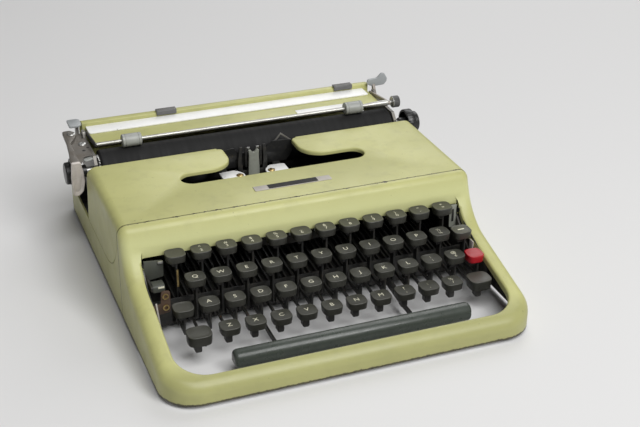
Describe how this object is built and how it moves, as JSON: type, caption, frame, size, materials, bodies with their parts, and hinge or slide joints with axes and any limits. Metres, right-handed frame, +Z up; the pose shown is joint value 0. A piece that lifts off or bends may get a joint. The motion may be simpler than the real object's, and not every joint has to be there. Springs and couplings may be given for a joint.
{
  "type": "portable typewriter",
  "caption": "Low portable typewriter: sloped key bank in a sheet-metal casing, lift-off ribbon cover, and a sliding carriage with platen, paper bail and line-space lever.",
  "frame": {"origin": "On the table, at the middle of the footprint of the casing.", "axes": "+X to the typist's right, +Y from the typist to the rear, +Z up."},
  "size_m": [0.304, 0.322, 0.0962],
  "materials": {
    "green_paint": "satin enamel, worn at the edges",
    "black_paint": "satin black",
    "chassis_steel": "dull steel",
    "bright_metal": "nickel or chrome plate",
    "grey_metal": "matte grey plate",
    "aluminium": "satin plate",
    "rubber": "matte",
    "platen_rubber": "worn matte rubber",
    "key_plastic": "semi-gloss",
    "bar_plastic": "semi-gloss",
    "red_plastic": "semi-gloss",
    "black_plastic": "satin",
    "white_paint": "satin white"
  },
  "bodies": {
    "machine_frame": {"main_casing": "green_paint", "base_plate": "black_paint", "rubber_feet": "rubber", "left_side_frame": "chassis_steel", "right_side_frame": "chassis_steel", "chassis_bushes": "rubber", "lever_comb": "black_paint", "fulcrum_rod": "chassis_steel", "carriage_rail": "chassis_steel", "type_guide": "chassis_steel", "shift_guide_posts": "bright_metal", "spool_brackets": "chassis_steel", "warning_bell": "bright_metal"},
    "cover": {"ribbon_cover": "green_paint", "badge_plate": "aluminium"},
    "type_basket": {"type_segment": "chassis_steel", "type_bars": "bright_metal"},
    "vibrator": {"ribbon_vibrator": "bright_metal"},
    "left_spool": {"left_ribbon_spool": "black_paint"},
    "right_spool": {"right_ribbon_spool": "black_paint"},
    "spring_drum": {"mainspring_drum": "chassis_steel"},
    "number_row": {"number_row_caps": "key_plastic", "number_row_levers": "black_paint"},
    "upper_row": {"upper_row_caps": "key_plastic", "upper_row_levers": "black_paint"},
    "home_row": {"home_row_caps": "key_plastic", "home_row_levers": "black_paint"},
    "lower_row": {"lower_row_caps": "key_plastic", "lower_row_levers": "black_paint"},
    "space": {"space_bar": "bar_plastic", "space_bar_arms": "black_paint"},
    "left_shift": {"left_shift_key": "key_plastic"},
    "right_shift": {"right_shift_key": "key_plastic"},
    "shift_lock": {"shift_lock_key": "key_plastic"},
    "backspace": {"backspace_key": "key_plastic"},
    "tabulator": {"tabulator_key": "red_plastic"},
    "margin_release": {"margin_release_key": "key_plastic"},
    "selector": {"ribbon_selector": "black_paint"},
    "carriage": {"carriage_bed": "chassis_steel", "left_end_plate": "grey_metal", "right_end_plate": "grey_metal", "paper_table": "green_paint", "margin_scale": "white_paint", "carriage_cover": "green_paint"},
    "platen": {"platen_roller": "platen_rubber", "platen_shaft": "bright_metal", "left_platen_knob": "black_plastic", "right_platen_knob": "black_plastic", "line_space_ratchet": "bright_metal"},
    "feed": {"feed_roller": "rubber"},
    "line_lever": {"line_space_lever": "bright_metal"},
    "bail": {"paper_bail": "bright_metal", "bail_knob": "black_plastic"},
    "bail_roller_left": {"left_bail_roller": "grey_metal"},
    "bail_roller_right": {"right_bail_roller": "grey_metal"},
    "margin_left": {"left_margin_stop": "grey_metal"},
    "margin_right": {"right_margin_stop": "grey_metal"},
    "paper_release": {"paper_release_lever": "grey_metal"},
    "carriage_release": {"carriage_release_lever": "grey_metal"}
  },
  "joints": [
    {"name": "cover_lift", "type": "slide", "parent": "machine_frame", "child": "cover", "axis": [0, 0, 1], "range_m": [0, 0.08]},
    {"name": "basket_shift", "type": "slide", "parent": "machine_frame", "child": "type_basket", "axis": [0, 0, 1], "range_m": [-0.006, 0], "stiffness_N_per_m": 400, "springref_m": 0.015},
    {"name": "vibrator_rise", "type": "slide", "parent": "machine_frame", "child": "vibrator", "axis": [0, 0, 1], "range_m": [0, 0.008]},
    {"name": "left_spool_turn", "type": "hinge", "parent": "machine_frame", "child": "left_spool", "pos_m": [-0.088, 0.019, 0.05], "axis": [0, 0, 1], "continuous": true},
    {"name": "right_spool_turn", "type": "hinge", "parent": "machine_frame", "child": "right_spool", "pos_m": [0.088, 0.019, 0.05], "axis": [0, 0, 1], "continuous": true},
    {"name": "drum_turn", "type": "hinge", "parent": "machine_frame", "child": "spring_drum", "pos_m": [-0.092, 0.135, 0.01], "axis": [0, 0, 1], "range_deg": [-375, 375]},
    {"name": "number_row_press", "type": "hinge", "parent": "machine_frame", "child": "number_row", "pos_m": [0, 0.051, 0.024], "axis": [1, 0, 0], "range_deg": [0, 3.9], "stiffness_Nm_per_rad": 2, "springref_deg": -8.59},
    {"name": "upper_row_press", "type": "hinge", "parent": "machine_frame", "child": "upper_row", "pos_m": [0, 0.051, 0.024], "axis": [1, 0, 0], "range_deg": [0, 3.4], "stiffness_Nm_per_rad": 2, "springref_deg": -8.59},
    {"name": "home_row_press", "type": "hinge", "parent": "machine_frame", "child": "home_row", "pos_m": [0, 0.051, 0.024], "axis": [1, 0, 0], "range_deg": [0, 3.2], "stiffness_Nm_per_rad": 2, "springref_deg": -8.59},
    {"name": "lower_row_press", "type": "hinge", "parent": "machine_frame", "child": "lower_row", "pos_m": [0, 0.051, 0.024], "axis": [1, 0, 0], "range_deg": [0, 2.9], "stiffness_Nm_per_rad": 2, "springref_deg": -8.59},
    {"name": "space_press", "type": "hinge", "parent": "machine_frame", "child": "space", "pos_m": [0, 0.051, 0.024], "axis": [1, 0, 0], "range_deg": [0, 1.5], "stiffness_Nm_per_rad": 1.5, "springref_deg": -6.88},
    {"name": "left_shift_press", "type": "hinge", "parent": "machine_frame", "child": "left_shift", "pos_m": [0, 0.051, 0.024], "axis": [1, 0, 0], "range_deg": [0, 2.9], "stiffness_Nm_per_rad": 0.05, "springref_deg": -11.46},
    {"name": "right_shift_press", "type": "hinge", "parent": "machine_frame", "child": "right_shift", "pos_m": [0, 0.051, 0.024], "axis": [1, 0, 0], "range_deg": [0, 2.9], "stiffness_Nm_per_rad": 0.05, "springref_deg": -11.46},
    {"name": "shift_lock_press", "type": "hinge", "parent": "machine_frame", "child": "shift_lock", "pos_m": [0, 0.051, 0.024], "axis": [1, 0, 0], "range_deg": [0, 2.9], "stiffness_Nm_per_rad": 0.05, "springref_deg": -11.46},
    {"name": "backspace_press", "type": "hinge", "parent": "machine_frame", "child": "backspace", "pos_m": [0, 0.051, 0.024], "axis": [1, 0, 0], "range_deg": [0, 3.9], "stiffness_Nm_per_rad": 0.05, "springref_deg": -11.46},
    {"name": "tabulator_press", "type": "hinge", "parent": "machine_frame", "child": "tabulator", "pos_m": [0, 0.051, 0.024], "axis": [1, 0, 0], "range_deg": [0, 3.2], "stiffness_Nm_per_rad": 0.05, "springref_deg": -11.46},
    {"name": "margin_release_press", "type": "hinge", "parent": "machine_frame", "child": "margin_release", "pos_m": [0, 0.051, 0.024], "axis": [1, 0, 0], "range_deg": [0, 3.4], "stiffness_Nm_per_rad": 0.05, "springref_deg": -11.46},
    {"name": "selector_turn", "type": "hinge", "parent": "machine_frame", "child": "selector", "pos_m": [-0.122, -0.036, 0.04], "axis": [1, 0, 0], "range_deg": [-12, 0]},
    {"name": "carriage_slide", "type": "slide", "parent": "machine_frame", "child": "carriage", "axis": [1, 0, 0], "range_m": [-0.11, 0.11]},
    {"name": "platen_turn", "type": "hinge", "parent": "carriage", "child": "platen", "pos_m": [0, 0.0861, 0.0665], "axis": [1, 0, 0], "continuous": true},
    {"name": "feed_turn", "type": "hinge", "parent": "carriage", "child": "feed", "pos_m": [0, 0.0861, 0.04665], "axis": [1, 0, 0], "continuous": true},
    {"name": "line_lever_swing", "type": "hinge", "parent": "carriage", "child": "line_lever", "pos_m": [-0.1385, 0.123, 0.081], "axis": [0, 0, 1], "range_deg": [-40, 0]},
    {"name": "bail_lift", "type": "hinge", "parent": "carriage", "child": "bail", "pos_m": [0, 0.1245, 0.0812], "axis": [1, 0, 0], "range_deg": [-60, 0]},
    {"name": "left_roller_turn", "type": "hinge", "parent": "bail", "child": "bail_roller_left", "pos_m": [-0.097, 0.0872, 0.087], "axis": [1, 0, 0], "continuous": true},
    {"name": "right_roller_turn", "type": "hinge", "parent": "bail", "child": "bail_roller_right", "pos_m": [0.093, 0.0872, 0.087], "axis": [1, 0, 0], "continuous": true},
    {"name": "left_margin_slide", "type": "slide", "parent": "carriage", "child": "margin_left", "axis": [1, 0, 0], "range_m": [-0.06, 0.06]},
    {"name": "right_margin_slide", "type": "slide", "parent": "carriage", "child": "margin_right", "axis": [1, 0, 0], "range_m": [-0.08, 0.012]},
    {"name": "paper_release_pull", "type": "hinge", "parent": "carriage", "child": "paper_release", "pos_m": [0.13, 0.124, 0.072], "axis": [1, 0, 0], "range_deg": [0, 25]},
    {"name": "carriage_release_pull", "type": "hinge", "parent": "carriage", "child": "carriage_release", "pos_m": [-0.13, 0.139, 0.064], "axis": [1, 0, 0], "range_deg": [0, 8], "stiffness_Nm_per_rad": 0.02, "springref_deg": -17.19}
  ],
  "couplings": [
    {"joint": "left_shift_press", "follows": "basket_shift", "rad_per_m": -8.4},
    {"joint": "right_shift_press", "follows": "basket_shift", "rad_per_m": -8.4},
    {"joint": "shift_lock_press", "follows": "basket_shift", "rad_per_m": -8.4},
    {"joint": "right_spool_turn", "follows": "left_spool_turn", "ratio": 1},
    {"joint": "drum_turn", "follows": "carriage_slide", "rad_per_m": 58.8},
    {"joint": "feed_turn", "follows": "platen_turn", "ratio": -3.3333}
  ]
}
